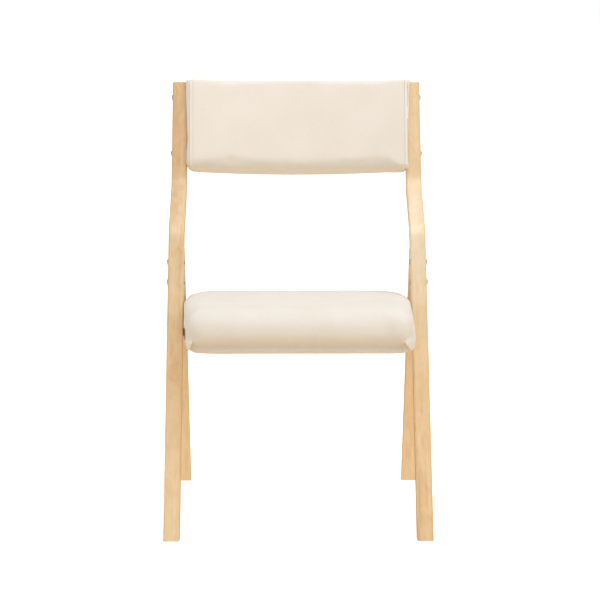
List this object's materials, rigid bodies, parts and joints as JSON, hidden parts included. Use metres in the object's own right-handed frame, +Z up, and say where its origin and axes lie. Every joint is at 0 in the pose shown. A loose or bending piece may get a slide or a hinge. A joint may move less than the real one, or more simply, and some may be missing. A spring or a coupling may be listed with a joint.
{
  "type": "folding chair",
  "caption": "Folding wooden chair with S-bent laminated posts, straight hinged rear legs, a padded seat that lifts with the fold and a bowed padded backrest.",
  "frame": {"origin": "middle of the footprint box on the floor", "axes": "+Z up, +X across the chair to the right as seen from the front, front towards -Y"},
  "size_m": [0.4748, 0.5108, 0.7802],
  "materials": {
    "birch": "clear satin lacquer over pale birch veneer",
    "plywood": "sanded plywood",
    "steel": "zinc plated",
    "brass": "turned inserts",
    "foam": "upholstery foam",
    "cover": "cream woven cover"
  },
  "bodies": {
    "frame": {"post_left": "birch", "post_right": "birch", "backrest_board": "plywood", "backrest_foam": "foam", "backrest_cover": "cover", "hinge_tongue_left": "steel", "hinge_tongue_right": "steel", "hinge_sleeve_nut_left_upper": "steel", "hinge_sleeve_nut_left_lower": "steel", "hinge_sleeve_nut_right_upper": "steel", "hinge_sleeve_nut_right_lower": "steel", "hinge_screw_left_upper": "steel", "hinge_screw_left_lower": "steel", "hinge_screw_right_upper": "steel", "hinge_screw_right_lower": "steel", "backrest_bolt_left_upper": "steel", "backrest_bolt_left_lower": "steel", "backrest_bolt_right_upper": "steel", "backrest_bolt_right_lower": "steel", "backrest_insert_left_upper": "brass", "backrest_insert_left_lower": "brass", "backrest_insert_right_upper": "brass", "backrest_insert_right_lower": "brass", "seat_pivot_stud_left": "steel", "seat_pivot_stud_right": "steel", "seat_pivot_insert_left": "brass", "seat_pivot_insert_right": "brass"},
    "rear_frame": {"rear_leg_left": "birch", "rear_leg_right": "birch", "rear_rail": "birch", "fold_pin_left": "steel", "fold_pin_right": "steel"},
    "seat": {"seat_board": "plywood", "seat_foam": "foam", "seat_cover": "cover", "seat_bracket_left": "steel", "seat_bracket_right": "steel", "seat_spacer_left": "steel", "seat_spacer_right": "steel", "seat_screw_left_1": "steel", "seat_screw_left_2": "steel", "seat_screw_left_3": "steel", "seat_screw_right_1": "steel", "seat_screw_right_2": "steel", "seat_screw_right_3": "steel"}
  },
  "joints": [
    {"name": "rear_legs_fold", "type": "hinge", "parent": "frame", "child": "rear_frame", "pos_m": [0, 0.03898, 0.4636], "axis": [-1, 0, 0], "range_deg": [0, 50.97]},
    {"name": "seat_lift", "type": "hinge", "parent": "frame", "child": "seat", "pos_m": [0, -0.05298, 0.338], "axis": [1, 0, 0], "range_deg": [0, 62.1]}
  ],
  "couplings": [
    {"joint": "seat_lift", "follows": "rear_legs_fold", "ratio": 1.2183}
  ]
}
